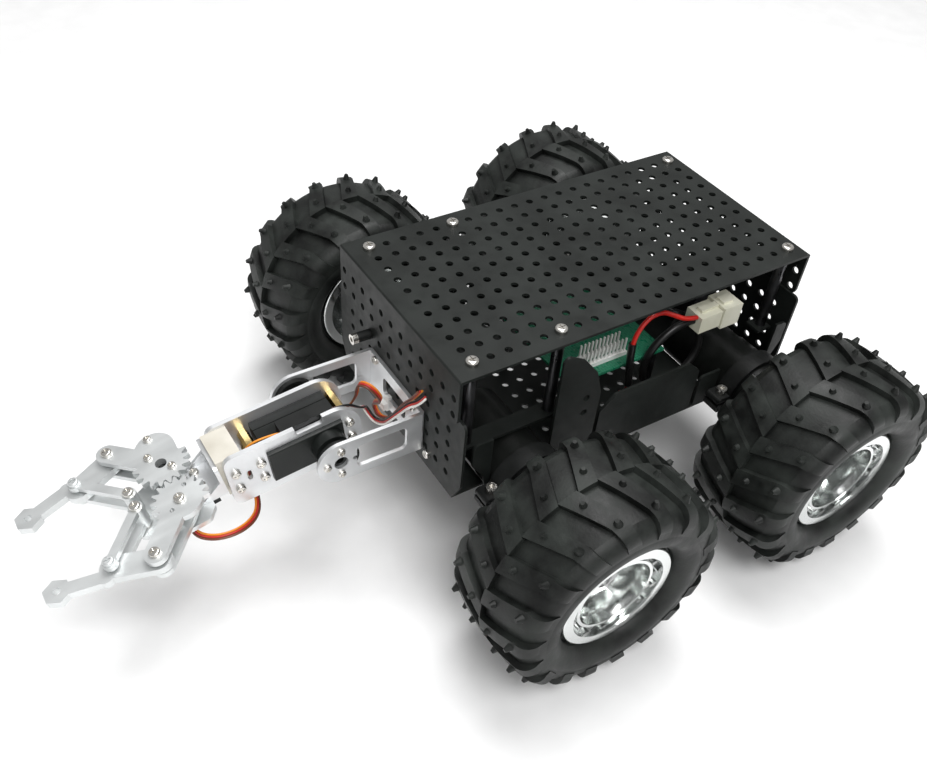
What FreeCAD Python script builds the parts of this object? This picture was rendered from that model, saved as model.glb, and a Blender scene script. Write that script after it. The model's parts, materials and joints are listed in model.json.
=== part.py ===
import FreeCAD, Part
import math
import os

# Four-wheeled robot with a servo arm and a two-finger gripper. Millimetres, +Z up.
# The gripper points along -Y, +X is the robot's left side. The parts are modelled with the
# floor at z = 0 and the hole grid of the deck centred on x = 0, y = 0. main() then moves
# them so that the origin is on the floor under the middle of the bounding box.

V = FreeCAD.Vector
X_AXIS = V(1, 0, 0)
Y_AXIS = V(0, 1, 0)
Z_AXIS = V(0, 0, 1)

# Sheet-metal chassis
SHEET = 1.5
GRID = 10.0
HOLE_R = 2.0
COVER_HALF_X = 59.5
COVER_FRONT_Y = -112.0
COVER_REAR_Y = 108.5
COVER_TOP_Z = 141.0
COVER_FLANGE_Z = 112.8
TRAY_HALF_X = 64.0
TRAY_FRONT_Y = -110.3
TRAY_REAR_Y = 106.8
TRAY_BOTTOM_Z = 60.0
TRAY_TOP_Z = 115.5
PANEL_ROWS = (73.2, 83.2, 93.2, 103.2)
FLANGE_ROWS = (128.0, 118.0)
SIDE_MIDDLE_Y = (-26.5, 42.0)
SIDE_TOP_Z = 97.0
COVER_SCREW_YS = (-100.0, -50.0, 100.0)
COVER_SCREW_X = 50.0
FREE_SCREW = (32.0, 69.0)

# Control board on its posts, and the battery connector above it
BOARD_Z = 94.0
BOARD_T = 1.6
BOARD_X = (-22.0, 46.0)
BOARD_Y = (-34.0, 30.0)
BOARD_POST_XS = (BOARD_X[0] + 4, BOARD_X[1] - 4)
BOARD_POST_YS = (BOARD_Y[0] + 4, BOARD_Y[1] - 4)
HEADER_PITCH = 2.54
HEADER_X = 33.0
HEADER_Y = -20.0
HEADER_PINS = 11
CONNECTOR_C = V(50, 56.5, 113.5)

# Wheels and drives
AXLE_Z = 62.5
AXLE_YS = {"f": -74.8, "r": 77.8}
WHEEL_X = 123.2
TREAD_R = 60.5
CARCASS_R = 57.2
TYRE_HALF_W = 31.0
LUGS_PER_SIDE = 18
LUG_SLOPE = 0.42
STUD_TIP_R = 62.5
STUD_BASE_R = 2.8
STUD_OFFSETS = (7.2, 22.5)
RIM_LIP_X = 26.0
RIM_LIP_R = 31.6
BEAD_GAP = 0.8
RIM_BARREL_R = 28.0
MOTOR_R = 18.0
MOTOR_LIFT = 7.0
MOTOR_INNER_X = 16.0
MOTOR_OUTER_X = 90.0
SHAFT_R = 3.0
CLAMP_X = (67.0, 77.0)
CLAMP_SCREW_REACH = 22.3

# Arm: the shoulder axis is parallel to X. In the arm's own frame s runs forward from it
# and n upward.
SHOULDER = V(0, -157.0, 82.7)
ARM_PITCH = 7.0
BRACKET_HALF_X = 28.5
BRACKET_R = 12.5
METAL = 2.0
PLATE_T = 2.5
NEAR_FACE_X = 11.0
FAR_FACE_X = -12.0
FOREARM_HALF_N = 16.5
FOREARM_REAR = 20.0
FOREARM_FRONT = 51.5
SERVO_W = 20.0
SERVO_S = (-10.0, 30.0)
SERVO_FACE_X = 13.4
EAR_S = (-14.0, 34.0)
EAR_N = (-5.0, 5.0)
EAR_MARGIN = 3.5
BLOCK_S = 47.0
BLOCK_N = (-5.5, 5.5)
HORN_SCREWS = ((0.0, 7.6), (7.6, 0.0), (0.0, -7.6), (-7.6, 0.0))
IDLER_PIN_R = 2.0
LEAD_R = 1.3

# Gripper: its own plane, origin midway between the two gear axes at the screw heads
GRIP_ORIGIN = V(-1.75, -232.8, 82.1)
GRIP_PITCH = 11.0
GEAR_TEETH = 18
GEAR_PITCH_R = 12.8
GEAR_X = GEAR_PITCH_R
IDLER_X = 4.8
IDLER_F = 19.4
LINK = 30.0
LINK_ANGLE = 47.0
PIN_R = 1.5
PIN_FIT = 0.05
TOP_LINK = (-5.0, -2.0)
FINGER = (-10.4, -6.4)
LOW_LINK = (-14.8, -11.8)
BASE_PLATE = (-18.6, -15.8)
TOOTH_ROOT_R = 11.1
TOOTH_TIP_R = 14.0
HORN_FIXINGS = ((-17.9, -0.5), (-6.5, -4.3), (5.0, 4.0))
SERVO_SHAFT_R = 2.9
COUPLER_CLEARANCE = 0.4
TIP_HOLE = (24.0, -65.7)
FINGER_NECK = 3.3
IDLER_END_R = 3.5
IDLER_BAR = 2.2
ELBOW = (29.5, -44.5)
WRIST_F = 21.5
WRIST_T = 2.0
WRIST_SCREWS = ((-8.2, 11.5), (1.5, 11.5))


# ---------------------------------------------------------------- helpers

def box(x0, x1, y0, y1, z0, z1):
    return Part.makeBox(x1 - x0, y1 - y0, z1 - z0, V(x0, y0, z0))


def rod(r, start, end):
    span = end - start
    return Part.makeCylinder(r, span.Length, start, span)


def ring(r_out, r_in, start, end):
    return rod(r_out, start, end).cut(rod(r_in, start, end))


def prism(points, z0, z1, radius=0.0):
    """Flat plate: a closed outline in X and Y with rounded corners, between two heights."""
    outline = rounded(points, radius) if radius else polygon(points)
    face = Part.Face(outline)
    face.translate(V(0, 0, z0))
    return face.extrude(V(0, 0, z1 - z0))


def polygon(points):
    corners = [V(p[0], p[1], 0) for p in points]
    return Part.makePolygon(corners + corners[:1])


def rounded(points, radius):
    """Closed wire through the points with each corner turned into an arc."""
    corners = [V(p[0], p[1], 0) for p in points]
    count = len(corners)
    edges = []
    stops = []
    for i, corner in enumerate(corners):
        before = (corners[i - 1] - corner).normalize()
        after = (corners[(i + 1) % count] - corner).normalize()
        half = before.getAngle(after) / 2
        reach = radius / math.tan(half)
        centre = corner + (before + after).normalize() * (radius / math.sin(half))
        middle = centre + (corner - centre).normalize() * radius
        stops.append((corner + before * reach, middle, corner + after * reach))
    for i, (enter, middle, leave) in enumerate(stops):
        edges.append(Part.Arc(enter, middle, leave).toShape())
        following = stops[(i + 1) % count][0]
        if leave.distanceToPoint(following) > 1e-4:
            edges.append(Part.LineSegment(leave, following).toShape())
    return Part.Wire(edges)


def slot_shape(p, q, r, z0, z1):
    """Bar with round ends: from p to q, half-width r, between two heights."""
    a = V(p[0], p[1], z0)
    b = V(q[0], q[1], z0)
    height = V(0, 0, z1 - z0)
    side = (b - a).cross(Z_AXIS).normalize() * r
    face = Part.Face(Part.makePolygon([a + side, b + side, b - side, a - side, a + side]))
    ends = [rod(r, a, a + height), rod(r, b, b + height)]
    return face.extrude(height).fuse(ends).removeSplitter()


def upright(shape_in_xy, axis, at):
    """Stand up a plate drawn in X and Y, with its faces square to the axis, then move it."""
    turned = shape_in_xy.copy()
    turned.rotate(V(0, 0, 0), X_AXIS, 90)
    if axis == "x":
        turned.rotate(V(0, 0, 0), Z_AXIS, 90)
    turned.translate(at)
    return turned


def pan_screw(r_head, head, r_shank, shank, at, direction):
    """Screw with a domed, cross-slotted head; `at` is under the head."""
    head_part = Part.makeCylinder(r_head, head, V(0, 0, 0), Z_AXIS)
    head_part = head_part.makeFillet(head * 0.55, [head_part.Edges[0]])
    slot = box(-r_head * 0.6, r_head * 0.6, -0.25, 0.25, head * 0.5, head + 1)
    cross = slot.copy()
    cross.rotate(V(0, 0, 0), Z_AXIS, 90)
    shank_part = Part.makeCylinder(r_shank, shank, V(0, 0, -shank), Z_AXIS)
    screw = head_part.cut([slot, cross]).fuse(shank_part)
    screw.Placement = FreeCAD.Placement(at, FreeCAD.Rotation(Z_AXIS, direction))
    return screw


def mirrored(shape):
    return shape.mirror(V(0, 0, 0), X_AXIS)


def route_tube(points, r, name):
    """Round tube along straight runs joined by the largest arcs that the runs allow."""
    pts = [V(*p) for p in points]
    edges = []
    radii = []
    at = pts[0]
    for i in range(1, len(pts) - 1):
        back = pts[i - 1] - pts[i]
        ahead = pts[i + 1] - pts[i]
        turn = math.pi - back.getAngle(ahead)
        reach = 0.45 * min(back.Length, ahead.Length)
        radius = reach / math.tan(turn / 2)
        radii.append(round(radius, 1))
        back.normalize()
        ahead.normalize()
        enter = pts[i] + back * reach
        leave = pts[i] + ahead * reach
        centre = pts[i] + (back + ahead).normalize() * (radius / math.cos(turn / 2))
        middle = centre + (pts[i] - centre).normalize() * radius
        edges.append(Part.LineSegment(at, enter).toShape())
        edges.append(Part.Arc(enter, middle, leave).toShape())
        at = leave
    edges.append(Part.LineSegment(at, pts[-1]).toShape())
    path = Part.Wire(edges)
    section = Part.Wire(Part.makeCircle(r, pts[0], pts[1] - pts[0]))
    tube = path.makePipeShell([section], True, True)
    expected = math.pi * r * r * path.Length
    print(name, "length", round(path.Length, 1), "radii", radii,
          "volume ratio", round(tube.Volume / expected, 4))
    return tube


# ---------------------------------------------------------------- chassis

def grid_holes(columns, rows, axis, depth0, depth1, r=HOLE_R):
    """Round holes at every column and row, through the stated depth of one axis."""
    holes = []
    for a in columns:
        for b in rows:
            if axis == "z":
                holes.append(rod(r, V(a, b, depth0), V(a, b, depth1)))
            else:
                holes.append(rod(r, V(a, depth0, b), V(a, depth1, b)))
    return holes


def steps(first, last, pitch=GRID):
    count = int(round((last - first) / pitch)) + 1
    return [first + pitch * i for i in range(count)]


def top_cover():
    """Deck sheet with a bent flange at each end and a full grid of holes."""
    inner_z = COVER_TOP_Z - SHEET
    deck = box(-COVER_HALF_X, COVER_HALF_X, COVER_FRONT_Y, COVER_REAR_Y, inner_z, COVER_TOP_Z)
    flange_h = COVER_TOP_Z - COVER_FLANGE_Z
    flange = prism([(-COVER_HALF_X, 0.0), (COVER_HALF_X, 0.0),
                    (COVER_HALF_X, flange_h), (-COVER_HALF_X, flange_h)], 0, SHEET)
    lower = [e for e in flange.Edges if abs(e.Length - SHEET) < 1e-6 and e.BoundBox.YMax < 1]
    flange = flange.makeFillet(5.5, lower)
    front = upright(flange, "y", V(0, COVER_FRONT_Y + SHEET, COVER_FLANGE_Z))
    rear = upright(flange, "y", V(0, COVER_REAR_Y, COVER_FLANGE_Z))
    shape = deck.fuse([front, rear]).removeSplitter()
    bends = [e for e in shape.Edges if e.BoundBox.ZMin > COVER_TOP_Z - 1e-4
             and e.BoundBox.YLength < 1e-4]
    shape = shape.makeFillet(1.2, bends)
    holes = grid_holes(steps(-50, 50), steps(-100, 100), "z", inner_z - 1, COVER_TOP_Z + 1)
    for y in (COVER_FRONT_Y, COVER_REAR_Y):
        holes += grid_holes(steps(-55, 55), FLANGE_ROWS, "y", y - 3, y + 3)
    return shape.cut(holes)


def end_panel():
    """Upright end panel of the tray, drawn in X and Y with its lower edge at y = 0."""
    height = TRAY_TOP_Z - TRAY_BOTTOM_Z
    half = TRAY_HALF_X
    outline = [(-half + 7, 0), (half - 7, 0), (half, 14), (half, height),
               (-half, height), (-half, 14)]
    return prism(outline, 0, SHEET, 3.0)


def side_plate(outline):
    """Upright wall on the left side; its outline is given in Y and Z."""
    return upright(prism(outline, 0, SHEET, 3.0), "x", V(TRAY_HALF_X - SHEET, 0, 0))


def side_plates():
    """Front, middle and rear walls of the left side; the front one has a tall inner fin."""
    z0 = TRAY_BOTTOM_Z
    lo, hi = SIDE_MIDDLE_Y
    middle = side_plate([(lo, z0), (hi, z0), (hi, SIDE_TOP_Z - 8), (hi - 9, SIDE_TOP_Z),
                         (lo + 9, SIDE_TOP_Z), (lo, SIDE_TOP_Z - 9)])
    front = side_plate([(-94, z0), (-29, z0), (-29, 104), (-34, 119), (-43, 130),
                        (-54, 136.5), (-62, 128), (-66, 100), (-104, 100), (-104, 86),
                        (-97, 76)])
    rear = side_plate([(45, z0), (96, z0), (99, 76), (104, 86), (104, 100), (86, 100),
                       (66, 82), (45, 82)])
    return [front, middle, rear]


def lower_tray():
    """Perforated tray: floor, two end panels and three walls on each side."""
    floor_top = TRAY_BOTTOM_Z + SHEET
    half = TRAY_HALF_X
    floor = box(-half + 7, half - 7, TRAY_FRONT_Y, TRAY_REAR_Y, TRAY_BOTTOM_Z, floor_top)
    waist = box(-half, half, -92, 94, TRAY_BOTTOM_Z, floor_top)
    front = upright(end_panel(), "y", V(0, TRAY_FRONT_Y + SHEET, TRAY_BOTTOM_Z))
    rear = upright(end_panel(), "y", V(0, TRAY_REAR_Y, TRAY_BOTTOM_Z))
    walls = []
    for wall in side_plates():
        walls += [wall, mirrored(wall)]
    shape = floor.fuse([waist, front, rear] + walls)
    cuts = []
    for y in AXLE_YS.values():
        z = AXLE_Z + MOTOR_LIFT
        cuts.append(rod(MOTOR_R + 0.1, V(-half - 1, y, z), V(-MOTOR_INNER_X + 2, y, z)))
        cuts.append(rod(MOTOR_R + 0.1, V(MOTOR_INNER_X - 2, y, z), V(half + 1, y, z)))
        cuts.append(box(-half - 1, half + 1, y - MOTOR_R - 0.1, y + MOTOR_R + 0.1,
                        z, COVER_TOP_Z))
    for z in (93.2, 103.2):
        cuts.append(rod(HOLE_R, V(-half - 1, -38, z), V(half + 1, -38, z)))
    for y in (TRAY_FRONT_Y, TRAY_REAR_Y):
        cuts += grid_holes(steps(-50, 50), PANEL_ROWS, "y", y - 2, y + 2)
    cuts += grid_holes(steps(-50, 50), steps(-40, 40), "z", TRAY_BOTTOM_Z - 1, floor_top + 1)
    x, z = FREE_SCREW
    cuts.append(rod(1.45, V(x, TRAY_FRONT_Y - 2, z), V(x, TRAY_FRONT_Y + 2, z)))
    return shape.cut(cuts).removeSplitter()


def cover_screws():
    screws = []
    for x in (-COVER_SCREW_X, COVER_SCREW_X):
        for y in COVER_SCREW_YS:
            screws.append(pan_screw(3.3, 2.4, 1.45, 6.0, V(x, y, COVER_TOP_Z), Z_AXIS))
    return screws


def standoffs():
    """Posts between the tray and the deck, and the short ones under the board."""
    floor_top = TRAY_BOTTOM_Z + SHEET
    posts = []
    for x in (-COVER_SCREW_X, COVER_SCREW_X):
        for y in COVER_SCREW_YS:
            over_motor = min(abs(y - axle) for axle in AXLE_YS.values()) < MOTOR_R + 8
            bottom = 90.0 if over_motor else floor_top
            posts.append(ring(3.0, 1.5, V(x, y, bottom), V(x, y, COVER_TOP_Z - SHEET)))
    for x in BOARD_POST_XS:
        for y in BOARD_POST_YS:
            posts.append(rod(2.6, V(x, y, floor_top), V(x, y, BOARD_Z)))
    return posts


def standoff_rails():
    """Angle rails over the motors that carry the posts, one at each end."""
    rails = []
    for y0, y1 in ((-104.0, -44.0), (94.0, 104.0)):
        for x in (-COVER_SCREW_X, COVER_SCREW_X):
            rails.append(box(x - 5, x + 5, y0, y1, 88.5, 90.0))
    return rails


def control_board():
    """Circuit board with a few packaged parts soldered to it."""
    board = box(BOARD_X[0], BOARD_X[1], BOARD_Y[0], BOARD_Y[1], BOARD_Z, BOARD_Z + BOARD_T)
    top = BOARD_Z + BOARD_T
    chip = box(0, 14, -12, 2, top, top + 2)
    regulator = box(-18, -8, -30, -20, top, top + 4.5)
    capacitor = rod(3.2, V(-12, 18, top), V(-12, 18, top + 8))
    return [board, chip, regulator, capacitor]


def board_headers():
    """Two rows of upright pins in their plastic strips."""
    top = BOARD_Z + BOARD_T
    solids = []
    for x in (HEADER_X, HEADER_X + 6.0):
        length = HEADER_PINS * HEADER_PITCH
        strip = box(x - 1.27, x + 1.27, HEADER_Y, HEADER_Y + length, top, top + 2.5)
        pins = []
        for i in range(HEADER_PINS):
            y = HEADER_Y + HEADER_PITCH * (i + 0.5)
            pins.append(box(x - 0.45, x + 0.45, y - 0.45, y + 0.45, top + 2.5, top + 11.0))
        solids.append(strip.fuse(pins))
    return solids


def wire_connector():
    """Two mating halves of a square battery connector, lying on its side."""
    c = CONNECTOR_C
    socket = box(c.x - 6, c.x + 6, c.y - 15, c.y - 0.2, c.z - 5, c.z + 5)
    latch = box(c.x - 2, c.x + 2, c.y - 12, c.y - 0.2, c.z + 5, c.z + 6.6)
    plug = box(c.x - 7, c.x + 7, c.y + 0.2, c.y + 13, c.z - 6.5, c.z + 6.5)
    rib = box(c.x - 3, c.x + 3, c.y + 2, c.y + 9, c.z + 6.5, c.z + 8)
    return [socket.fuse(latch), plug.fuse(rib)]


def terminal_block():
    """Screw terminal strip at the back of the tray."""
    floor_top = TRAY_BOTTOM_Z + SHEET
    body = box(-13, 13, 84, 94, floor_top, floor_top + 34)
    wells = [rod(2.0, V(8 * i - 8, 89, 92), V(8 * i - 8, 89, 99)) for i in range(3)]
    return body.cut(wells)


def front_spacer():
    z = PANEL_ROWS[3]
    return ring(2.8, 1.6, V(-30, TRAY_FRONT_Y, z), V(-30, TRAY_FRONT_Y - 8, z))


def front_cap_screw():
    z = PANEL_ROWS[3]
    start = V(-30, TRAY_FRONT_Y - 8, z)
    head = rod(2.9, start, start + V(0, -3.0, 0))
    socket = rod(1.4, start + V(0, -1.4, 0), start + V(0, -3.5, 0))
    shank = rod(1.5, start, V(-30, TRAY_FRONT_Y + 4, z))
    return head.cut(socket).fuse(shank)


def bracket_screws():
    """Screws of the arm bracket, and the free one in the panel beside it."""
    screws = []
    for x in (-20.0, 20.0):
        at = V(x, TRAY_FRONT_Y - METAL, PANEL_ROWS[2])
        screws.append(pan_screw(2.4, 1.8, 1.45, 5.0, at, -Y_AXIS))
    at = V(FREE_SCREW[0], TRAY_FRONT_Y, FREE_SCREW[1])
    screws.append(pan_screw(2.4, 1.8, 1.45, 1.4, at, -Y_AXIS))
    return screws


# ---------------------------------------------------------------- drives and wheels

def gearmotor(end):
    """Tube-shaped gear motor with an offset output: motor can, gearbox and front boss."""
    y = AXLE_YS[end]
    axis_z = AXLE_Z + MOTOR_LIFT
    can_end = MOTOR_INNER_X + 34
    can = rod(MOTOR_R - 0.9, V(MOTOR_INNER_X, y, axis_z), V(can_end, y, axis_z))
    can = can.makeFillet(2.0, [can.Edges[2]])
    gearbox = rod(MOTOR_R, V(can_end, y, axis_z), V(MOTOR_OUTER_X, y, axis_z))
    gearbox = gearbox.makeFillet(1.0, [gearbox.Edges[0]])
    boss = rod(6.0, V(MOTOR_OUTER_X, y, AXLE_Z), V(MOTOR_OUTER_X + 2.5, y, AXLE_Z))
    bore = rod(SHAFT_R + PIN_FIT, V(can_end + 8, y, AXLE_Z), V(MOTOR_OUTER_X + 3, y, AXLE_Z))
    return [can, gearbox.fuse(boss).cut(bore)]


def motor_clamp(end):
    """Split clamp ring round the motor tube with two ears on its front side."""
    y = AXLE_YS[end]
    z = AXLE_Z + MOTOR_LIFT
    x0, x1 = CLAMP_X
    band = ring(MOTOR_R + 2.6, MOTOR_R + 0.05, V(x0, y, z), V(x1, y, z))
    ears = box(x0, x1, y - 28.5, y - 17.0, z - 5.5, z + 4.0)
    ears = ears.makeFillet(2.0, [e for e in ears.Edges if abs(e.Length - (x1 - x0)) < 1e-6
                                 and e.BoundBox.YMax < y - 28])
    ears = ears.cut(rod(MOTOR_R + 0.05, V(x0 - 1, y, z), V(x1 + 1, y, z)))
    split = box(x0 - 1, x1 + 1, y - 30, y - 17.0, z - 0.9, z + 0.9)
    xm = (x0 + x1) / 2
    bore = rod(1.6, V(xm, y - CLAMP_SCREW_REACH, z - 8), V(xm, y - CLAMP_SCREW_REACH, z + 8))
    at = V(xm, y - CLAMP_SCREW_REACH, z + 4.0)
    seat = rod(3.0, at, at + V(0, 0, 8))
    return band.fuse(ears).cut([split, bore, seat])


def clamp_screw(end):
    y = AXLE_YS[end] - CLAMP_SCREW_REACH
    z = AXLE_Z + MOTOR_LIFT + 4.0
    xm = (CLAMP_X[0] + CLAMP_X[1]) / 2
    head = rod(2.8, V(xm, y, z), V(xm, y, z + 3.0))
    socket = rod(1.4, V(xm, y, z + 1.5), V(xm, y, z + 4.0))
    shank = rod(1.5, V(xm, y, z), V(xm, y, z - 11))
    return head.cut(socket).fuse(shank)


def wheel_frame(shape, end):
    """Move a wheel part from its own axis, x outward from the tyre's middle, to the axle."""
    moved = shape.copy()
    moved.translate(V(WHEEL_X, AXLE_YS[end], AXLE_Z))
    return moved


def revolve_profile(edges):
    return Part.Face(Part.Wire(edges)).revolve(V(0, 0, 0), X_AXIS, 360)


def line(p, q):
    return Part.LineSegment(V(p[0], 0, p[1]), V(q[0], 0, q[1])).toShape()


def arc(p, m, q):
    return Part.Arc(V(p[0], 0, p[1]), V(m[0], 0, m[1]), V(q[0], 0, q[1])).toShape()


def poly_revolve(points):
    closed = list(points) + [points[0]]
    return revolve_profile([line(closed[i], closed[i + 1]) for i in range(len(points))])


def tyre_carcass():
    """Hollow rubber carcass: bulging side walls, crowned tread, open towards the rim."""
    w = TYRE_HALF_W
    bead = RIM_LIP_X - 3.2
    foot = RIM_LIP_R + BEAD_GAP
    outer = [arc((bead, foot), (w - 0.6, 38.0), (w, 44.5)),
             arc((w, 44.5), (w - 1.6, 51.0), (w - 6.5, 55.0)),
             arc((w - 6.5, 55.0), (0, CARCASS_R), (-w + 6.5, 55.0)),
             arc((-w + 6.5, 55.0), (-w + 1.6, 51.0), (-w, 44.5)),
             arc((-w, 44.5), (-w + 0.6, 38.0), (-bead, foot)),
             line((-bead, foot), (-bead, RIM_BARREL_R + 0.05)),
             line((-bead, RIM_BARREL_R + 0.05), (-bead + 5, RIM_BARREL_R + 0.05)),
             line((-bead + 5, RIM_BARREL_R + 0.05), (-bead + 5, 31.5)),
             arc((-bead + 5, 31.5), (-w + 4.2, 40.0), (-w + 4, 44.5)),
             arc((-w + 4, 44.5), (0, CARCASS_R - 4.2), (w - 4, 44.5)),
             arc((w - 4, 44.5), (w - 4.2, 40.0), (bead - 5, 31.5)),
             line((bead - 5, 31.5), (bead - 5, RIM_BARREL_R + 0.05)),
             line((bead - 5, RIM_BARREL_R + 0.05), (bead, RIM_BARREL_R + 0.05)),
             line((bead, RIM_BARREL_R + 0.05), (bead, foot))]
    return revolve_profile(outer)


def lug_crown():
    """Solid of revolution that gives the lugs their outer surface, hollow under the tread."""
    w = TYRE_HALF_W
    edges = [line((-w - 0.4, 46.0), (-w - 0.4, 49.0)),
             arc((-w - 0.4, 49.0), (-w + 1.0, 55.0), (-w + 6.0, 58.2)),
             arc((-w + 6.0, 58.2), (0, TREAD_R), (w - 6.0, 58.2)),
             arc((w - 6.0, 58.2), (w - 1.0, 55.0), (w + 0.4, 49.0)),
             line((w + 0.4, 49.0), (w + 0.4, 46.0)),
             line((w + 0.4, 46.0), (w - 3.0, 46.0)),
             arc((w - 3.0, 46.0), (0, CARCASS_R - 2.5), (-w + 3.0, 46.0)),
             line((-w + 3.0, 46.0), (-w - 0.4, 46.0))]
    return revolve_profile(edges)


def lug_prism(side):
    """One slanted tread bar above the wheel axis, from the middle to the shoulder."""
    reach = TYRE_HALF_W + 3
    mid = 23.0
    outline = [(-0.6, -5.1), (mid, LUG_SLOPE * mid - 4.0), (reach, LUG_SLOPE * mid - 2.2),
               (reach, LUG_SLOPE * mid + 4.6), (mid, LUG_SLOPE * mid + 4.2), (-0.6, 5.1)]
    if side < 0:
        outline = [(-x, y) for x, y in outline]
    return prism(outline, 44.0, 66.0)


def tyre_studs(angle0, side):
    """Conical studs, two on each tread bar of one side."""
    studs = []
    pitch = 360.0 / LUGS_PER_SIDE
    for offset in STUD_OFFSETS:
        tip = STUD_TIP_R if offset < 10 else STUD_TIP_R - 1.6
        base = V(side * offset, LUG_SLOPE * offset, tip - 5.0)
        cone = Part.makeCone(STUD_BASE_R, 1.0, 5.0, base, Z_AXIS)
        for i in range(LUGS_PER_SIDE):
            stud = cone.copy()
            stud.rotate(V(0, 0, 0), X_AXIS, angle0 - i * pitch)
            studs.append(stud)
    return studs


def tyre():
    """Chevron-lug tyre; the point of each V leads at the top of the wheel, towards -Y."""
    pitch = 360.0 / LUGS_PER_SIDE
    bars = []
    studs = []
    for side, angle0 in ((1, 0.0), (-1, pitch / 2)):
        bar = lug_prism(side)
        for i in range(LUGS_PER_SIDE):
            turned = bar.copy()
            turned.rotate(V(0, 0, 0), X_AXIS, angle0 - i * pitch)
            bars.append(turned)
        studs += tyre_studs(angle0, side)
    crown = lug_crown()
    lugs = [crown.common(bar) for bar in bars]
    return tyre_carcass().fuse(lugs + studs)


def rim():
    """Deep-dish chrome rim: barrel, rolled lips, bolt ring, spoked web and centre boss."""
    lip = RIM_LIP_X
    barrel_in = RIM_BARREL_R - 2.0
    profile = poly_revolve([(-lip, barrel_in), (-lip, RIM_LIP_R), (-lip + 2.6, RIM_LIP_R),
                            (-lip + 3.1, RIM_BARREL_R), (lip - 3.1, RIM_BARREL_R),
                            (lip - 2.6, RIM_LIP_R), (lip, RIM_LIP_R), (lip, barrel_in),
                            (lip - 5.5, barrel_in), (lip - 5.5, 22.0), (lip - 2.6, 22.0),
                            (lip - 2.6, 20.4), (lip - 8.0, 20.4), (lip - 8.0, barrel_in)])
    rounded_lips = [e for e in profile.Edges if len(e.Vertexes) == 1
                    and abs(abs(e.BoundBox.XMin) - lip) < 1e-6
                    and abs(e.BoundBox.ZMax - RIM_LIP_R) < 0.1]
    profile = profile.makeFillet(1.2, rounded_lips)
    web = ring(barrel_in + 0.5, 4.2, V(2, 0, 0), V(5, 0, 0))
    windows = []
    for i in range(6):
        window = prism([(-4.0, 12.5), (4.0, 12.5), (6.5, 22.5), (-6.5, 22.5)], 0, 9, 1.2)
        window = upright(window, "x", V(0, 0, 0))
        window.rotate(V(0, 0, 0), X_AXIS, 60.0 * i)
        windows.append(window)
    web = web.cut(windows)
    boss = ring(9.0, 4.2, V(-3, 0, 0), V(10, 0, 0))
    ribs = []
    for i in range(6):
        rib = box(5, 9, -1.4, 1.4, 8.5, barrel_in + 0.5)
        rib.rotate(V(0, 0, 0), X_AXIS, 60.0 * i + 30.0)
        ribs.append(rib)
    return profile.fuse([web, boss] + ribs)


def hub():
    """Steel shaft with its hex adapter, the wheel nut and the ring of bead bolts."""
    shaft = rod(SHAFT_R, V(MOTOR_OUTER_X - WHEEL_X - 14, 0, 0), V(11, 0, 0))
    collar = rod(7.0, V(-28, 0, 0), V(-3.0, 0, 0))
    stub = rod(4.15, V(-3.0, 0, 0), V(12, 0, 0))
    axle = shaft.fuse([collar, stub])
    hexagon = [(8.0 * math.cos(math.radians(60 * i)), 8.0 * math.sin(math.radians(60 * i)))
               for i in range(6)]
    nut = upright(prism(hexagon, 0, 5.0), "x", V(10.0, 0, 0))
    nut = nut.cut(rod(4.15, V(9, 0, 0), V(16, 0, 0)))
    bolts = []
    for i in range(16):
        bolt = rod(1.4, V(RIM_LIP_X - 5.5, 0, 24.0), V(RIM_LIP_X - 3.4, 0, 24.0))
        bolt.rotate(V(0, 0, 0), X_AXIS, 22.5 * i)
        bolts.append(bolt)
    return [axle, nut] + bolts


# ---------------------------------------------------------------- arm

def arm(shape):
    """Place a piece drawn in the arm's frame: x, forward as -y, up as z."""
    placed = shape.copy()
    placed.rotate(V(0, 0, 0), X_AXIS, ARM_PITCH)
    placed.translate(SHOULDER)
    return placed


def x_rod(r, x0, x1, s, n):
    return rod(r, V(x0, -s, n), V(x1, -s, n))


def bracket_arm():
    """Side of the U bracket, drawn in Y and Z, with the round end on the shoulder axis."""
    base_y = TRAY_FRONT_Y
    y, z, r = SHOULDER.y, SHOULDER.z, BRACKET_R
    plate = prism([(y, z - r), (base_y, z - r), (base_y, z + r), (y, z + r)], 0, METAL)
    plate = plate.fuse(Part.makeCylinder(r, METAL, V(y, z, 0), Z_AXIS)).removeSplitter()
    window = prism([(-148.5, 75.5), (-120.5, 75.5), (-120.5, 90), (-148.5, 90)], -1, 3, 3.0)
    holes = [window, Part.makeCylinder(3.75, 4, V(y, z, -1), Z_AXIS)]
    for a, b in HORN_SCREWS:
        holes.append(Part.makeCylinder(1.3, 4, V(y - a, z + b, -1), Z_AXIS))
    return plate.cut(holes)


def u_bracket():
    """Folded bracket screwed to the front panel; its two arms carry the shoulder axis."""
    left = upright(bracket_arm(), "x", V(BRACKET_HALF_X - METAL, 0, 0))
    right = upright(bracket_arm(), "x", V(-BRACKET_HALF_X, 0, 0))
    z0, z1 = SHOULDER.z - BRACKET_R, SHOULDER.z + BRACKET_R
    base = box(-BRACKET_HALF_X, BRACKET_HALF_X, TRAY_FRONT_Y - METAL, TRAY_FRONT_Y, z0, z1)
    shape = base.fuse([left, right]).removeSplitter()
    bends = [e for e in shape.Edges if abs(e.BoundBox.YMin - TRAY_FRONT_Y) < 1e-4
             and e.BoundBox.ZLength > 20 and abs(abs(e.BoundBox.XMin) - BRACKET_HALF_X) < 1e-4]
    shape = shape.makeFillet(1.8, bends)
    window = prism([(-12, 76.5), (12, 76.5), (12, 88), (-12, 88)], 0, 6, 3.0)
    cuts = [upright(window, "y", V(0, TRAY_FRONT_Y + 2, 0))]
    for x in (-20.0, 20.0):
        cuts.append(rod(1.6, V(x, -115, PANEL_ROWS[2]), V(x, -105, PANEL_ROWS[2])))
    return shape.cut(cuts)


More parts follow.
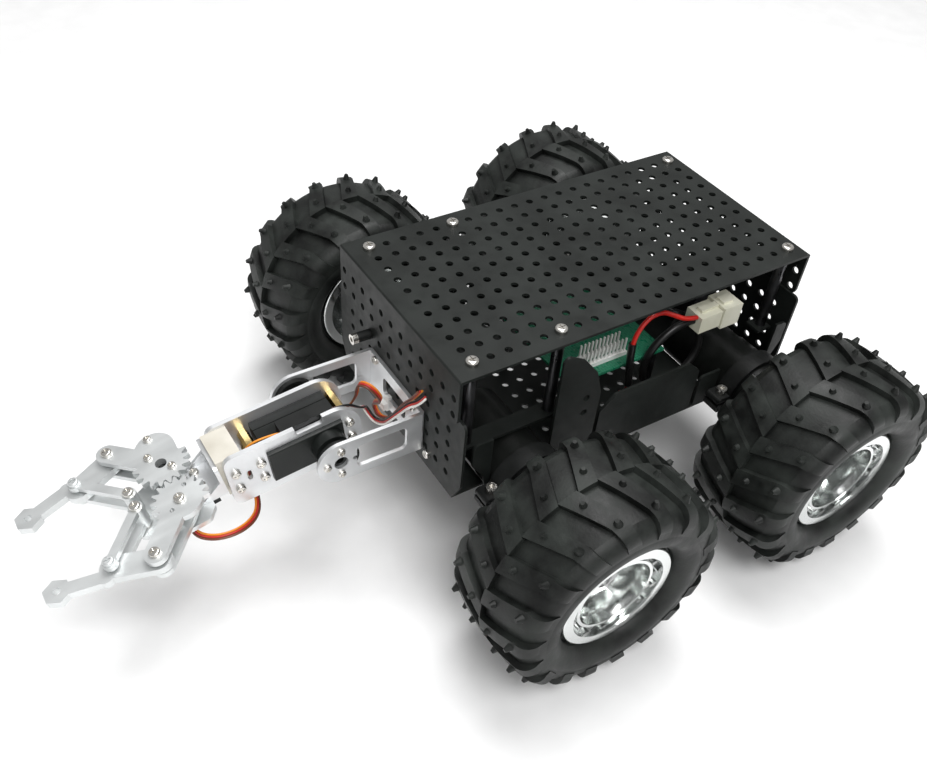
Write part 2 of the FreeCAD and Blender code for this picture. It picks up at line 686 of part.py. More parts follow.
def servo_horn():
    """Round horn on the servo's output shaft, under the bracket's left arm."""
    inner = BRACKET_HALF_X - METAL
    disc = x_rod(10.8, inner - 3.0, inner, 0, 0).fuse(x_rod(4.5, inner - 5.2, inner, 0, 0))
    disc = disc.fuse(x_rod(2.9, inner - 11.0, inner - 5.0, 0, 0))
    cuts = [x_rod(1.2, inner - 2.5, inner + 1, s, n) for s, n in HORN_SCREWS]
    cuts.append(x_rod(2.2, inner - 3.0, inner + 1, 0, 0))
    horn = disc.cut(cuts)
    horn.translate(SHOULDER)
    return horn


def horn_screws():
    screws = []
    for s, n in HORN_SCREWS[:3]:
        at = SHOULDER + V(BRACKET_HALF_X, -s, n)
        screws.append(pan_screw(2.1, 1.5, 1.15, 4.2, at, X_AXIS))
    return screws


def idler_disc():
    """Round bearing boss inside the bracket's right arm."""
    inner = -BRACKET_HALF_X + METAL
    disc = x_rod(10.8, inner, inner + 3.0, 0, 0).fuse(x_rod(5.5, inner, inner + 11.0, 0, 0))
    disc = disc.cut(x_rod(IDLER_PIN_R + PIN_FIT, inner - 1, inner + 12, 0, 0))
    disc.translate(SHOULDER)
    return disc


def forearm_outline():
    h = FOREARM_HALF_N
    rear = -FOREARM_REAR
    return [(-FOREARM_FRONT, -h), (-rear, -h), (-rear, h), (-FOREARM_FRONT, h)]


def forearm_plate(x0, x1, near):
    """Side plate of the forearm with a fully rounded rear end."""
    plate = prism(forearm_outline(), 0, x1 - x0)
    thick = x1 - x0
    rear = [e for e in plate.Edges if abs(e.Length - thick) < 1e-6 and e.BoundBox.XMin > 0]
    plate = plate.makeFillet(14.0, rear)
    front = [e for e in plate.Edges if abs(e.Length - thick) < 1e-6 and e.BoundBox.XMax < -50]
    plate = plate.makeFillet(5.0, front)
    drill = [(BLOCK_S, n) for n in BLOCK_N] + [(s, n) for s in EAR_S for n in EAR_N]
    cuts = [Part.makeCylinder(1.55, 9, V(-s, n, -3), Z_AXIS) for s, n in drill]
    if near:
        w = SERVO_W / 2 + 0.15
        s0, s1 = SERVO_S[0] - 0.15, SERVO_S[1] + 0.15
        cuts.append(prism([(-s1, -w), (-s0, -w), (-s0, w), (-s1, w)], -3, 6))
        cuts.append(prism([(-14, w + 2.4), (1, w + 2.4), (1, 30), (-14, 30)], -3, 6, 1.5))
        cuts.append(slot_shape((-40.7, -1.6), (-40.7, 2.4), 1.3, -3, 6))
    else:
        cuts.append(Part.makeCylinder(IDLER_PIN_R, 9, V(0, 0, -3), Z_AXIS))
        cuts.append(prism([(-26, -9), (-9, -9), (-9, 9), (-26, 9)], -3, 6, 4.0))
    return arm(upright(plate.cut(cuts), "x", V(x0, 0, 0)))


def shoulder_servo():
    """Standard-size servo between the plates; its case passes through the left plate."""
    w = SERVO_W / 2
    s0, s1 = SERVO_S
    back = FAR_FACE_X + 0.3
    case = box(back, SERVO_FACE_X, -s1, -s0, -w, w)
    rims = [e for e in case.Edges if e.BoundBox.XMin > SERVO_FACE_X - 0.5]
    case = case.makeFillet(1.0, rims)
    face_x = NEAR_FACE_X - PLATE_T
    ears = box(face_x - 2.5, face_x, -EAR_S[1] - EAR_MARGIN, -EAR_S[0] + EAR_MARGIN, -9, 9)
    boss = x_rod(9.0, SERVO_FACE_X - 0.5, 19.3, 0, 0).fuse(x_rod(6.5, 19.0, 20.8, 0, 0))
    seam_x = -6.0
    seam = box(seam_x, seam_x + 0.4, -s1 - 0.5, -s0 + 0.5, -w - 0.5, w + 0.5)
    seam = seam.cut(box(seam_x - 1, seam_x + 1.4, -s1 + 0.4, -s0 - 0.4, -w + 0.4, w - 0.4))
    cuts = [x_rod(2.9 + PIN_FIT, 12.0, 22.0, 0, 0)]
    cuts += [x_rod(1.65, 0, 10, s, n) for s in EAR_S for n in EAR_N]
    shape = case.fuse([ears, boss]).cut(cuts + [seam])
    return arm(shape)


def forearm_standoffs():
    """Hex brass posts from the servo's ears to the right plate."""
    posts = []
    ear_back = NEAR_FACE_X - PLATE_T - 2.5
    for s in EAR_S:
        for n in EAR_N:
            hexagon = [(2.9 * math.cos(math.radians(60 * i)) - s,
                        2.9 * math.sin(math.radians(60 * i)) + n) for i in range(6)]
            post = prism(hexagon, 0, ear_back - FAR_FACE_X)
            posts.append(arm(upright(post, "x", V(FAR_FACE_X, 0, 0))))
    return posts


def forearm_screws():
    """Pan heads outside both plates at the servo ears and at the front block."""
    screws = []
    places = [(BLOCK_S, n) for n in BLOCK_N] + [(s, n) for s in EAR_S for n in EAR_N]
    for s, n in places:
        length = PLATE_T + 2.4 if s != BLOCK_S else PLATE_T
        near = pan_screw(2.5, 1.9, 1.45, length, V(NEAR_FACE_X, -s, n), X_AXIS)
        far = pan_screw(2.5, 1.9, 1.45, PLATE_T, V(FAR_FACE_X - PLATE_T, -s, n), -X_AXIS)
        screws += [arm(near), arm(far)]
    return screws


def shoulder_pin():
    """Pin of the right plate that turns in the bearing boss."""
    pin = x_rod(IDLER_PIN_R, -BRACKET_HALF_X - 1.0, FAR_FACE_X, 0, 0)
    head = x_rod(3.4, -BRACKET_HALF_X - 2.6, -BRACKET_HALF_X - 0.6, 0, 0)
    return arm(pin.fuse(head))


def wrist_block():
    """Plastic block between the front ends of the plates."""
    block = box(FAR_FACE_X, NEAR_FACE_X - PLATE_T, -54.5, -41.0, -9.5, 15.0)
    front = [e for e in block.Edges if e.BoundBox.YMax < -54 and e.BoundBox.ZLength > 20]
    block = block.makeFillet(1.0, front)
    space = grip(box(-40, 40, 0, WRIST_F, -60, 60))
    return arm(block).cut(space)


def lead_connectors():
    """Two mated three-pin servo connectors lying on top of the servo."""
    solids = []
    for x, n in ((4.2, SERVO_W / 2), (4.4, SERVO_W / 2 + 3.1)):
        female = box(x - 3.6, x + 3.6, -5.5, 7.5, n, n + 2.9)
        male = box(x - 3.9, x + 3.9, -20.0, -5.5, n, n + 3.0)
        solids += [arm(female), arm(male)]
    return solids


# ---------------------------------------------------------------- gripper

def grip(shape):
    """Place a piece drawn in the gripper's frame: x, forward as -y, up as z."""
    placed = shape.copy()
    placed.rotate(V(0, 0, 0), X_AXIS, GRIP_PITCH)
    placed.translate(GRIP_ORIGIN)
    return placed


def link_vector(side):
    a = math.radians(LINK_ANGLE)
    return side * LINK * math.sin(a), LINK * math.cos(a)


def hub_xy(side):
    return side * GEAR_X, 0.0


def finger_pivot(side):
    dx, df = link_vector(side)
    return side * GEAR_X + dx, -df


def idler_pivot(side):
    return side * IDLER_X, -IDLER_F


def coupler_pivot(side):
    dx, df = link_vector(side)
    return side * IDLER_X + dx, -IDLER_F - df


def n_rod(r, xy, span):
    return Part.makeCylinder(r, span[1] - span[0], V(xy[0], xy[1], span[0]), Z_AXIS)


def gear_teeth(side, span):
    """Half ring of straight-flanked teeth facing the other gear and forwards."""
    pitch = 360.0 / GEAR_TEETH
    teeth = []
    for i in range(-7, 6):
        tooth = prism([(TOOTH_ROOT_R - 1, -1.5), (TOOTH_ROOT_R, -1.45), (GEAR_PITCH_R, -0.9),
                       (TOOTH_TIP_R, -0.5), (TOOTH_TIP_R, 0.5), (GEAR_PITCH_R, 0.9),
                       (TOOTH_ROOT_R, 1.45), (TOOTH_ROOT_R - 1, 1.5)], span[0], span[1])
        shift = 0.0 if side < 0 else 0.5
        tooth.rotate(V(0, 0, 0), Z_AXIS, (i + shift) * pitch)
        if side > 0:
            tooth = mirrored(tooth)
        tooth.translate(V(side * GEAR_X, 0, 0))
        teeth.append(tooth)
    return teeth


def gear_link(side):
    """Toothed upper link, lower link and the hub tube that joins them."""
    hub = hub_xy(side)
    tip = finger_pivot(side)
    upper = n_rod(TOOTH_ROOT_R, hub, TOP_LINK)
    parts = gear_teeth(side, TOP_LINK) + [slot_shape(hub, tip, 5.4, TOP_LINK[0], TOP_LINK[1])]
    if side < 0:
        parts.append(slot_shape(hub, (hub[0] - 10.7, 0.5), 10.0, TOP_LINK[0], TOP_LINK[1]))
    upper = upper.fuse(parts)
    lower = slot_shape(hub, tip, 5.4, LOW_LINK[0], LOW_LINK[1])
    tube = n_rod(6.0, hub, (LOW_LINK[1], TOP_LINK[0]))
    return upper.fuse([lower, tube]).removeSplitter()


def drive_screws(side):
    """Pin of the finger pivot, and on the driven gear the screws of the servo horn."""
    tip = finger_pivot(side)
    pin = n_rod(PIN_R, tip, (LOW_LINK[0], TOP_LINK[1]))
    head = pan_screw(2.8, 2.0, PIN_R, 1.0, V(tip[0], tip[1], TOP_LINK[1]), Z_AXIS)
    solids = [grip(pin.fuse(head))]
    if side < 0:
        hub = hub_xy(side)
        for dx, dy in HORN_FIXINGS:
            at = V(hub[0] + dx, hub[1] + dy, TOP_LINK[1])
            solids.append(grip(pan_screw(2.1, 1.6, 1.1, 2.5, at, Z_AXIS)))
    return solids


def placed_gear_link(side):
    shape = gear_link(side)
    hub = hub_xy(side)
    reach = (LOW_LINK[0] - 1, 1)
    if side < 0:
        cuts = [n_rod(SERVO_SHAFT_R, hub, reach)]
        for dx, dy in HORN_FIXINGS:
            cuts.append(n_rod(1.1, (hub[0] + dx, hub[1] + dy), (TOP_LINK[1] - 2.5, 1)))
    else:
        cuts = [n_rod(PIN_R + PIN_FIT, hub, reach)]
        for dx, dy in ((-6.7, 4.8), (4.3, -5.4)):
            cuts.append(n_rod(1.2, (hub[0] + dx, hub[1] + dy), (TOP_LINK[0] - 1, 1)))
    cuts.append(n_rod(PIN_R, finger_pivot(side), reach))
    return grip(shape.cut(cuts))


def idler_link(side):
    """Upper and lower parallel links, their base bushing, and the coupler pin."""
    base = idler_pivot(side)
    tip = coupler_pivot(side)
    reach = (LOW_LINK[0] - 1, 1)
    pieces = [n_rod(IDLER_END_R, base, (LOW_LINK[0], TOP_LINK[1]))]
    for span in (TOP_LINK, LOW_LINK):
        pieces.append(slot_shape(base, tip, IDLER_BAR, span[0], span[1]))
        pieces.append(n_rod(IDLER_END_R, tip, span))
    links = pieces[0].fuse(pieces[1:]).removeSplitter()
    links = links.cut([n_rod(PIN_R + PIN_FIT, base, reach), n_rod(PIN_R, tip, reach)])
    pin = n_rod(PIN_R, tip, (LOW_LINK[0], TOP_LINK[1]))
    head = pan_screw(2.8, 2.0, PIN_R, 1.0, V(tip[0], tip[1], TOP_LINK[1]), Z_AXIS)
    return [grip(links), grip(pin.fuse(head))]


def finger(side):
    """Flat finger: two pivots, an elbow, and a six-sided pad at the tip."""
    a = finger_pivot(1)
    m = coupler_pivot(1)
    lower = slot_shape(a, m, 6.2, FINGER[0], FINGER[1])
    middle = slot_shape(m, ELBOW, FINGER_NECK + 0.6, FINGER[0], FINGER[1])
    upper = slot_shape(ELBOW, TIP_HOLE, FINGER_NECK, FINGER[0], FINGER[1])
    hexagon = [(TIP_HOLE[0] + 6.8 * math.cos(math.radians(60 * i)),
                TIP_HOLE[1] + 6.8 * math.sin(math.radians(60 * i))) for i in range(6)]
    tip = prism(hexagon, FINGER[0], FINGER[1])
    reach = (FINGER[0] - 1, FINGER[1] + 1)
    holes = [n_rod(PIN_R + PIN_FIT, a, reach), n_rod(PIN_R + COUPLER_CLEARANCE, m, reach),
             n_rod(1.9, TIP_HOLE, reach)]
    shape = lower.fuse([middle, upper, tip]).cut(holes).removeSplitter()
    if side < 0:
        shape = mirrored(shape)
    return grip(shape)


def gripper_base():
    """Base plate under the gears and the idler pillars."""
    z0, z1 = BASE_PLATE
    outline = [(-21, 8), (-15, 13), (15, 13), (21, 8), (21, -5), (11, -24.5), (-11, -24.5),
               (-21, -5)]
    plate = prism(outline, z0, z1, 4.0)
    cuts = [n_rod(SERVO_SHAFT_R + 1.2, hub_xy(-1), (z0 - 1, z1 + 1)),
            n_rod(PIN_R, hub_xy(1), (z0 - 1, z1 + 1))]
    cuts += [n_rod(PIN_R, idler_pivot(side), (z0 - 1, z1 + 1)) for side in (-1, 1)]
    return grip(plate.cut(cuts))


def gripper_pillars():
    """Fixed pins of the right-hand gear and of the two idlers, with their screw heads."""
    pillars = []
    for xy in (hub_xy(1), idler_pivot(-1), idler_pivot(1)):
        pin = n_rod(PIN_R, xy, (BASE_PLATE[0] - 1.5, TOP_LINK[1] + 0.2))
        foot = n_rod(2.8, xy, (BASE_PLATE[0] - 2.5, BASE_PLATE[0]))
        washer = n_rod(2.9, xy, (BASE_PLATE[1], LOW_LINK[0] - 0.1))
        at = V(xy[0], xy[1], TOP_LINK[1] + 0.1)
        head = pan_screw(2.8, 2.0, PIN_R, 1.0, at, Z_AXIS)
        pillars.append(grip(pin.fuse([foot, washer, head])))
    return pillars


def gripper_servo():
    """Small servo under the base plate with its shaft in the driven gear."""
    hub = hub_xy(-1)
    top = BASE_PLATE[0]
    x, y = hub
    body = box(x - 6, x + 6, y - 6, y + 17, top - 22.5, top)
    ears = box(x - 6, x + 6, y - 10.5, y + 21.5, top - 7, top - 4.6)
    shaft = n_rod(SERVO_SHAFT_R, hub, (top, -6.0))
    holes = [n_rod(1.1, (x, y - 8.5), (top - 9, top)), n_rod(1.1, (x, y + 19.5), (top - 9, top))]
    return grip(body.fuse([ears, shaft]).cut(holes))


def wrist_bracket():
    """Folded bracket from the block's front face to the base plate, with two side gussets."""
    z0 = BASE_PLATE[1]
    x0, x1 = -13.0, 12.0
    foot = box(x0, x1, 7.5, WRIST_F, z0, z0 + 1.6)
    wall = box(x0, x1, WRIST_F - WRIST_T, WRIST_F, z0, 3.0)
    top_corners = [e for e in wall.Edges if abs(e.Length - WRIST_T) < 1e-6
                   and e.BoundBox.ZMin > 2]
    wall = wall.makeFillet(3.0, top_corners)
    gusset = prism([(-(WRIST_F - WRIST_T), 1.6), (-8.5, 1.6), (-(WRIST_F - WRIST_T), 9.0)],
                   0, 1.6)
    gussets = []
    for x in (x0, x1 - 1.6):
        web = upright(gusset, "x", V(0, 0, z0))
        web = web.mirror(V(0, 0, 0), Y_AXIS)
        web.translate(V(x, 0, 0))
        gussets.append(web)
    hole = rod(4.0, V(-0.5, WRIST_F + 1, -6.0), V(-0.5, WRIST_F - 4, -6.0))
    drills = [n_rod(1.5, xy, (z0 - 1, z0 + 3)) for xy in WRIST_SCREWS]
    return grip(foot.fuse([wall] + gussets).cut([hole] + drills))


def wrist_screws():
    z0 = BASE_PLATE[1]
    return [grip(pan_screw(2.5, 1.6, 1.45, 1.6, V(x, y, z0 + 1.6), Z_AXIS))
            for x, y in WRIST_SCREWS]


# ---------------------------------------------------------------- leads

SHOULDER_LEAD = ((-2, -146.9, 83.92), (-2, -138.5, 84.95), (-1, -133.5, 92.5),
                 (2, -134.5, 101), (6, -135, 108), (11.5, -131.5, 108), (13.5, -127, 100),
                 (6, -124, 90), (-4, -122, 81), (-9, -119.8, 74.5), (-4.5, -118.9, 68.5),
                 (5, -117.5, 74.5), (11, -116, 84.5), (17, -115, 95), (23.5, -114.4, 103),
                 (28, -113.5, 111))
EXTENSION_LEAD = ((4.2, -150.9, 95), (4.5, -142.5, 96), (6, -135.5, 91), (-1, -129.5, 83.5),
                  (-10, -124.5, 73.5), (-6, -121.8, 66.5), (4, -121, 71.5),
                  (11, -120, 81), (17.5, -118.6, 90.5), (23.5, -117, 99.5), (30, -115, 105.5),
                  (33.5, -113.8, 112))
GRIPPER_LEAD = ((-8.5, -225.1, 53), (1, -225.6, 53.3), (10, -230, 56.5), (19.5, -229, 59.5),
                (26.5, -223, 62), (28, -214, 62), (24, -205, 59.5), (16.5, -198, 56.5),
                (8, -194.3, 56), (2, -194, 62.5), (1.2, -195.2, 72), (1.8, -196.5, 81.5),
                (3, -195, 89.5), (4.2, -187, 92.6), (4.2, -178.35, 91.7))


def cable_tie():
    """Strap round the lower bar of the bracket's base and the leads beside it."""
    x0, x1 = -8.6, -5.8
    front_y = TRAY_FRONT_Y - METAL
    outer = box(x0, x1, front_y - 1.1, front_y, 68.4, 78.2)
    strap = box(x0, x1, front_y, TRAY_FRONT_Y, 68.4, SHOULDER.z - BRACKET_R)
    upper = box(x0, x1, front_y, TRAY_FRONT_Y, 76.5, 77.6)
    lock = box(x0 - 1.2, x1 + 1.2, front_y - 3.8, front_y - 1.1, 70.6, 75.0)
    return outer.fuse([strap, upper, lock])


POWER_LOOP = ((50, 41.45, 114), (50, 34, 114.2), (49.6, 25.5, 111), (49.2, 18, 104.5),
              (48.9, 14, 95.5), (48.6, 14.5, 85.5), (48, 19, 76.5), (47.5, 27, 70.5),
              (47, 37, 68.5), (46.5, 47, 71.5), (46, 55, 78), (45, 58.5, 87.5),
              (43, 57, 97.5), (39, 50.5, 104.5), (32.5, 43.5, 107), (25, 38, 105.5))
RED_WIRE = ((52, 41.45, 117), (52, 33.5, 118.5), (51.5, 24, 124.5), (51.2, 14.5, 130),
            (51, 6, 128.5), (51, 0.5, 121), (51, -0.8, 111.5), (51, 0.6, 101.5),
            (50.8, 2.6, 92), (50, 4.5, 82.5), (47, 7, 74), (41, 9.5, 67.5))


# ---------------------------------------------------------------- write the parts

def compound(solids):
    return solids[0] if len(solids) == 1 else Part.makeCompound(solids)


def mirror_list(solids):
    return [mirrored(s) for s in solids]


def build():
    nodes = {
        "top_cover": [top_cover()],
        "lower_tray": [lower_tray()],
        "cover_screws": cover_screws(),
        "cover_standoffs": standoffs(),
        "standoff_rails": standoff_rails(),
        "control_board": control_board(),
        "header_pins": board_headers(),
        "battery_connector": wire_connector(),
        "terminal_block": [terminal_block()],
        "battery_wire": [route_tube(POWER_LOOP, 2.2, "battery_wire")],
        "red_wire": [route_tube(RED_WIRE, 1.3, "red_wire")],
        "front_spacer": [front_spacer()],
        "front_cap_screw": [front_cap_screw()],
        "bracket_screws": bracket_screws() + horn_screws(),
        "u_bracket": [u_bracket()],
        "servo_horn": [servo_horn()],
        "idler_disc": [idler_disc()],
        "cable_tie": [cable_tie()],
        "shoulder_servo_lead": [route_tube(SHOULDER_LEAD, LEAD_R, "shoulder_servo_lead")],
        "extension_lead": [route_tube(EXTENSION_LEAD, LEAD_R, "extension_lead")],
        "forearm_plate_left": [forearm_plate(NEAR_FACE_X - PLATE_T, NEAR_FACE_X, True)],
        "forearm_plate_right": [forearm_plate(FAR_FACE_X - PLATE_T, FAR_FACE_X, False)],
        "shoulder_servo": [shoulder_servo()],
        "forearm_standoffs": forearm_standoffs(),
        "forearm_screws": forearm_screws() + wrist_screws(),
        "shoulder_pin": [shoulder_pin()],
        "wrist_block": [wrist_block()],
        "lead_connectors": lead_connectors(),
        "wrist_bracket": [wrist_bracket()],
        "gripper_base": [gripper_base()],
        "gripper_pillars": gripper_pillars(),
        "gripper_servo": [gripper_servo()],
        "gripper_lead": [route_tube(GRIPPER_LEAD, LEAD_R, "gripper_lead")],
    }
    clamps = []
    clamp_screws = []
    wheel_parts = {"tyre": [tyre()], "rim": [rim()], "hub": hub()}
    for end in AXLE_YS:
        clamps += [motor_clamp(end), mirrored(motor_clamp(end))]
        clamp_screws += [clamp_screw(end), mirrored(clamp_screw(end))]
        motor = gearmotor(end)
        nodes["gearmotor_" + end + "l"] = motor
        nodes["gearmotor_" + end + "r"] = mirror_list(motor)
        for name, solids in wheel_parts.items():
            placed = [wheel_frame(s, end) for s in solids]
            nodes[name + "_" + end + "l"] = placed
            nodes[name + "_" + end + "r"] = mirror_list(placed)
    nodes["motor_clamps"] = clamps
    nodes["clamp_screws"] = clamp_screws
    for side, name in ((-1, "right"), (1, "left")):
        nodes["gear_link_" + name] = [placed_gear_link(side)]
        nodes["link_screws_" + name] = drive_screws(side)
        nodes["idler_link_" + name] = idler_link(side)
        nodes["finger_" + name] = [finger(side)]
    return nodes


def bounds(nodes):
    total = FreeCAD.BoundBox()
    for solids in nodes.values():
        for solid in solids:
            total.add(solid.optimalBoundingBox(False))
    return total


def main():
    nodes = build()
    total = bounds(nodes)
    place = V(-total.Center.x, -total.Center.y, -total.ZMin)
    print("shift", round(place.x, 4), round(place.y, 4), round(place.z, 4))
    print("size", round(total.XLength, 2), round(total.YLength, 2), round(total.ZLength, 2))
    os.makedirs("parts", exist_ok=True)
    for name, solids in nodes.items():
        shape = compound([solid.translated(place) for solid in solids])
        shape.exportStep("parts/" + name + ".step")


if __name__ == "__main__":
    main()
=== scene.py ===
import json
import math

import bmesh
import bpy
from mathutils import Matrix, Vector


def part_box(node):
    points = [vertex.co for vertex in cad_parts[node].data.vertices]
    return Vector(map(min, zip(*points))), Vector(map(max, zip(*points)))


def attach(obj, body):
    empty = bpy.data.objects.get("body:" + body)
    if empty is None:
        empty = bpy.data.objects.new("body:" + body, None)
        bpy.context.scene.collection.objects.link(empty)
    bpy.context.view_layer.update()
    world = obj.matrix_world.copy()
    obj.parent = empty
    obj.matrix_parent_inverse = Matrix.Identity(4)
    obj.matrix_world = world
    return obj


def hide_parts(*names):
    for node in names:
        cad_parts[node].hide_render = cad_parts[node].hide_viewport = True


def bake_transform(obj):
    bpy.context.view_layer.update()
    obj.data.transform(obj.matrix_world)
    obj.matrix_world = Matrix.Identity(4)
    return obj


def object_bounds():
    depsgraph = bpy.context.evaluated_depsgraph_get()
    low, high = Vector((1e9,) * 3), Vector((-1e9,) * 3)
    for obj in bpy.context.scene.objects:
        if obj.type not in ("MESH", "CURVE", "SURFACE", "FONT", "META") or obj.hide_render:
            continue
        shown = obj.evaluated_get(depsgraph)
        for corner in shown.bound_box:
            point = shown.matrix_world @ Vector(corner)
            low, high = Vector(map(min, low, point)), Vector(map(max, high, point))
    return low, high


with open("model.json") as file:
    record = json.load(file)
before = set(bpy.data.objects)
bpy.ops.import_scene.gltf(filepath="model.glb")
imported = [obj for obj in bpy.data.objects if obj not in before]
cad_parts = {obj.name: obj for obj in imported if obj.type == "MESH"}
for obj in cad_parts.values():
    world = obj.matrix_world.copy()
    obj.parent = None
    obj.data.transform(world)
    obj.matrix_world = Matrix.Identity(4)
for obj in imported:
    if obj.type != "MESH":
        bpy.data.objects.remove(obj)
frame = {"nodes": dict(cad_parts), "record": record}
CAD_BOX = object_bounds()
MM = 0.001
DECK_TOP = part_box("top_cover")[1][2]
SHIFT_Y = (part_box("top_cover")[0][1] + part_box("top_cover")[1][1]) / 2 + 0.00175


def at(x, y, z):
    """Millimetres from the middle of the deck's hole grid to the row frame in metres."""
    return Vector((x * MM, y * MM + SHIFT_Y, z * MM))


# ---------------------------------------------------------------- camera

def add_camera():
    right = Vector((0.523, 0.850, 0.063)).normalized()
    up = Vector((-0.640, 0.342, 0.688))
    up = (up - right * up.dot(right)).normalized()
    back = right.cross(up)
    data = bpy.data.cameras.new("camera")
    data.sensor_width = 36.0
    data.lens = 37.2
    data.shift_y = 0.0667
    data.clip_end = 20.0
    camera = bpy.data.objects.new("camera", data)
    bpy.context.scene.collection.objects.link(camera)
    basis = Matrix((right, up, back)).transposed().to_4x4()
    camera.matrix_world = Matrix.Translation(at(318.3, -291.0, 428.1)) @ basis
    bpy.context.scene.camera = camera


add_camera()


# ---------------------------------------------------------------- materials

def nodes_of(name):
    material = bpy.data.materials.new(name)
    material.use_nodes = True
    tree = material.node_tree
    shader = tree.nodes["Principled BSDF"]
    return material, tree, shader


def noise(tree, scale, detail=4.0, stretch=(1, 1, 1)):
    coords = tree.nodes.new("ShaderNodeTexCoord")
    mapping = tree.nodes.new("ShaderNodeMapping")
    mapping.inputs["Scale"].default_value = stretch
    texture = tree.nodes.new("ShaderNodeTexNoise")
    texture.inputs["Scale"].default_value = scale
    texture.inputs["Detail"].default_value = detail
    tree.links.new(coords.outputs["Object"], mapping.inputs["Vector"])
    tree.links.new(mapping.outputs["Vector"], texture.inputs["Vector"])
    return texture


def ramp(tree, source, low, high, at_low=0.35, at_high=0.65):
    node = tree.nodes.new("ShaderNodeValToRGB")
    node.color_ramp.elements[0].position = at_low
    node.color_ramp.elements[0].color = (*low, 1.0)
    node.color_ramp.elements[1].position = at_high
    node.color_ramp.elements[1].color = (*high, 1.0)
    tree.links.new(source, node.inputs["Fac"])
    return node


def spread(tree, source, low, high):
    node = tree.nodes.new("ShaderNodeMapRange")
    node.inputs["From Min"].default_value = 0.3
    node.inputs["From Max"].default_value = 0.7
    node.inputs["To Min"].default_value = low
    node.inputs["To Max"].default_value = high
    tree.links.new(source, node.inputs["Value"])
    return node


def bumps(tree, shader, source, strength, distance):
    node = tree.nodes.new("ShaderNodeBump")
    node.inputs["Strength"].default_value = strength
    node.inputs["Distance"].default_value = distance
    tree.links.new(source, node.inputs["Height"])
    tree.links.new(node.outputs["Normal"], shader.inputs["Normal"])
    return node


def finish(name, dark, light, rough, metal=0.0, grain=900, bump=0.15, depth=0.0001,
           patches=35, stretch=(1, 1, 1), coat=0.0, specular=0.5):
    """Surface with colour patches, uneven roughness and a fine grain."""
    material, tree, shader = nodes_of(name)
    colour = noise(tree, patches, 6.0)
    mixed = ramp(tree, colour.outputs["Fac"], dark, light)
    tree.links.new(mixed.outputs["Color"], shader.inputs["Base Color"])
    smears = noise(tree, patches * 4, 5.0, stretch)
    roughness = spread(tree, smears.outputs["Fac"], rough[0], rough[1])
    tree.links.new(roughness.outputs["Result"], shader.inputs["Roughness"])
    fine = noise(tree, grain, 3.0, stretch)
    bumps(tree, shader, fine.outputs["Fac"], bump, depth)
    shader.inputs["Metallic"].default_value = metal
    shader.inputs["Coat Weight"].default_value = coat
    shader.inputs["Specular IOR Level"].default_value = specular
    return material


def board_material():
    """Green solder mask with lighter tracks and tinned pads."""
    material, tree, shader = nodes_of("solder_mask")
    coords = tree.nodes.new("ShaderNodeTexCoord")
    tracks = tree.nodes.new("ShaderNodeTexBrick")
    tracks.inputs["Scale"].default_value = 160.0
    tracks.inputs["Mortar Size"].default_value = 0.012
    tracks.inputs["Color1"].default_value = (0.012, 0.13, 0.07, 1)
    tracks.inputs["Color2"].default_value = (0.016, 0.17, 0.09, 1)
    tracks.inputs["Mortar"].default_value = (0.05, 0.33, 0.18, 1)
    pads = tree.nodes.new("ShaderNodeTexVoronoi")
    pads.inputs["Scale"].default_value = 260.0
    pads.inputs["Randomness"].default_value = 0.35
    tree.links.new(coords.outputs["Object"], tracks.inputs["Vector"])
    tree.links.new(coords.outputs["Object"], pads.inputs["Vector"])
    mask = ramp(tree, pads.outputs["Distance"], (1, 1, 1), (0, 0, 0), 0.13, 0.17)
    mix = tree.nodes.new("ShaderNodeMixRGB")
    tree.links.new(mask.outputs["Color"], mix.inputs["Fac"])
    tree.links.new(tracks.outputs["Color"], mix.inputs["Color1"])
    mix.inputs["Color2"].default_value = (0.6, 0.58, 0.5, 1)
    tree.links.new(mix.outputs["Color"], shader.inputs["Base Color"])
    rough = noise(tree, 300)
    roughness = spread(tree, rough.outputs["Fac"], 0.22, 0.4)
    tree.links.new(roughness.outputs["Result"], shader.inputs["Roughness"])
    bumps(tree, shader, tracks.outputs["Fac"], 0.25, 0.0001)
    return material


def tyre_material():
    """Dull rubber: patches of dust and painted sheen, mould flow lines and a fine pitted skin."""
    material, tree, shader = nodes_of("rubber_skin")
    # Random lighter patches: partly dust, partly painted sheen that stands in for highlights on
    # the rubber.
    dust_and_sheen = noise(tree, 60, 8.0)
    mixed = ramp(tree, dust_and_sheen.outputs["Fac"], (0.0040, 0.0046, 0.0042), (0.024, 0.028, 0.025),
                 0.38, 0.72)
    tree.links.new(mixed.outputs["Color"], shader.inputs["Base Color"])
    smears = noise(tree, 120, 6.0)
    roughness = spread(tree, smears.outputs["Fac"], 0.38, 0.58)
    tree.links.new(roughness.outputs["Result"], shader.inputs["Roughness"])
    skin = noise(tree, 700, 6.0)
    bumps(tree, shader, skin.outputs["Fac"], 0.35, 0.00025)
    shader.inputs["Specular IOR Level"].default_value = 0.28
    return material


